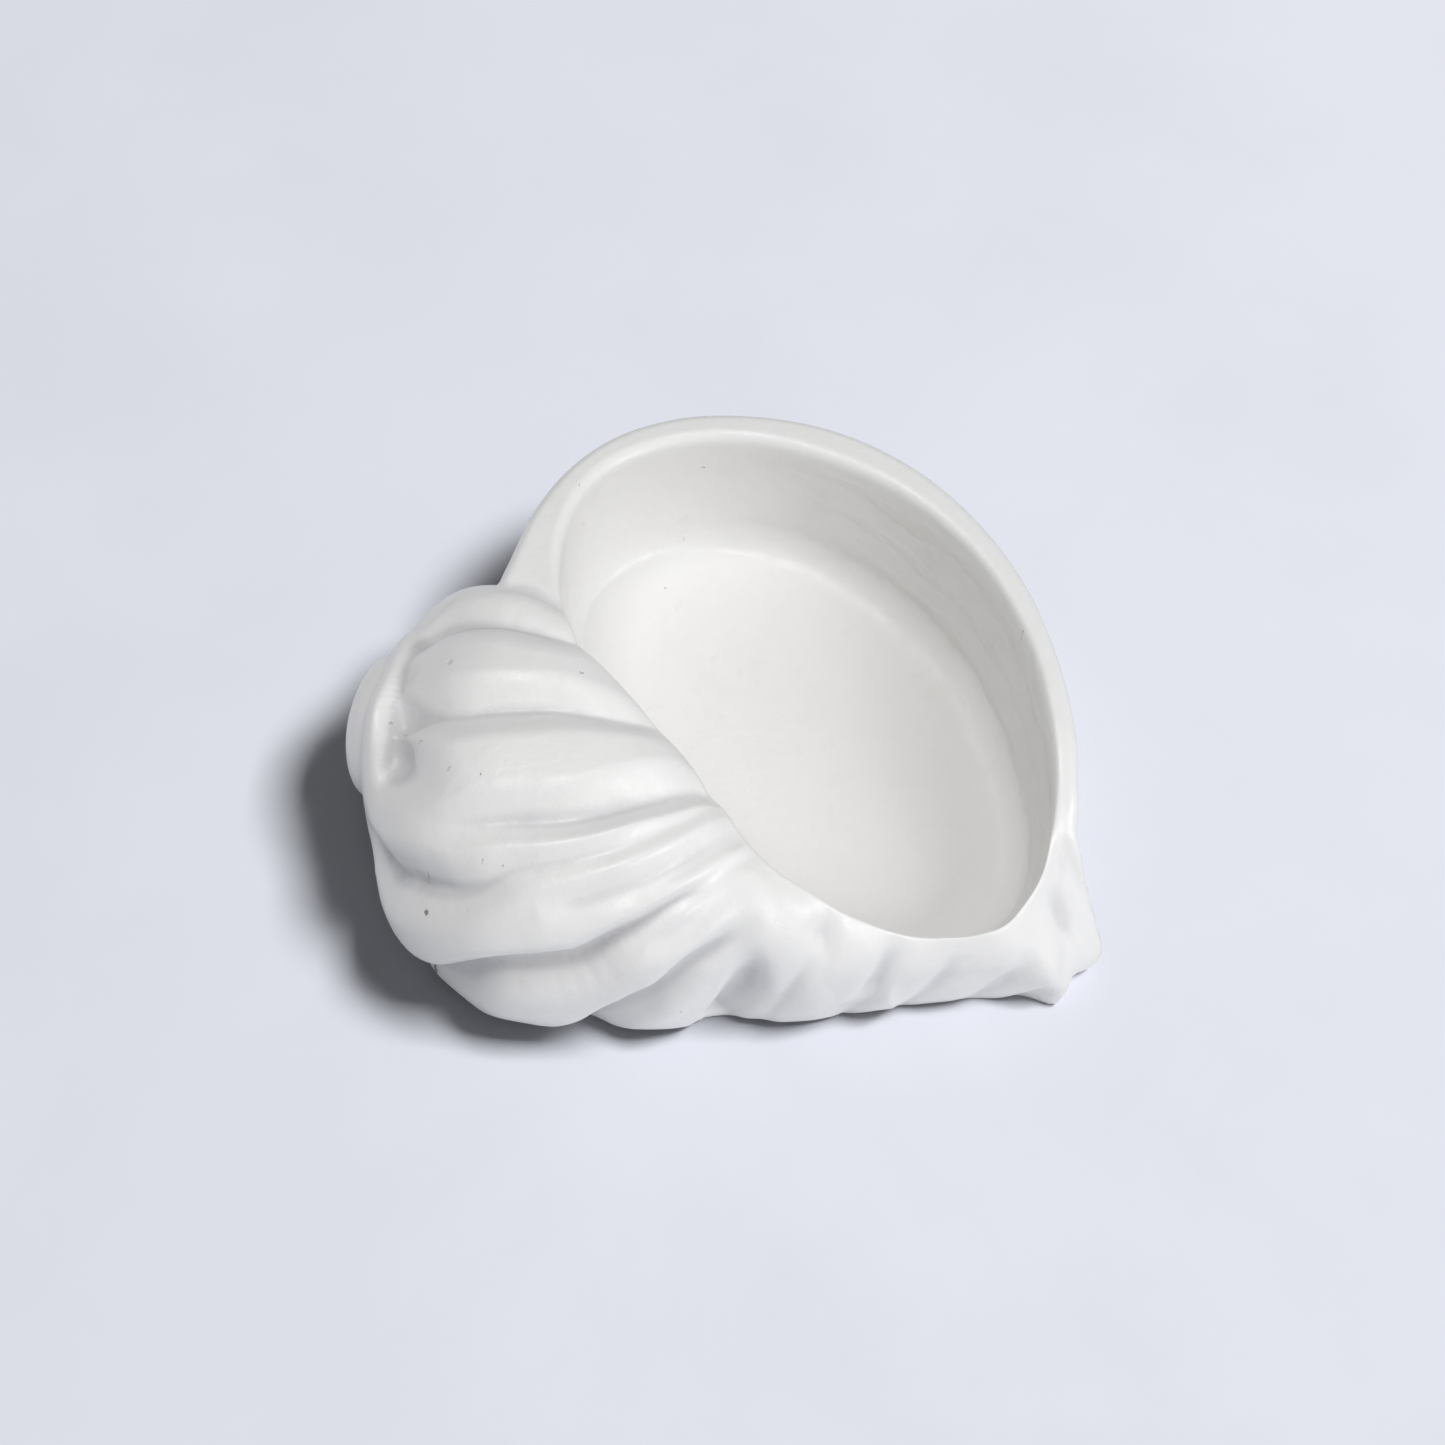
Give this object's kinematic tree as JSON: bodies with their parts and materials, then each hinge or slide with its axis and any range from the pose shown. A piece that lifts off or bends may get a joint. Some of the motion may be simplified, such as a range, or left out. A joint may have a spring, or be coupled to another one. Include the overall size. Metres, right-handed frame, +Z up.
{
  "type": "conch shell dish",
  "caption": "One-piece cast dish shaped like a conch shell: a ribbed body whorl and low spire at one side of an open bowl with a flat oval floor and a spout-like canal.",
  "frame": {"origin": "middle of the dish's box seen from above, on the flat base", "axes": "+X along the length from the spire towards the canal's side of the bowl, +Y across from the ribbed whorl towards the back of the rim, +Z up out of the bowl"},
  "size_m": [0.176, 0.1498, 0.0598],
  "materials": {
    "white_ceramic": "off-white, satin, fine cast texture with a few small pits"
  },
  "bodies": {
    "root": {"conch_shell_dish": "white_ceramic"}
  },
  "joints": []
}
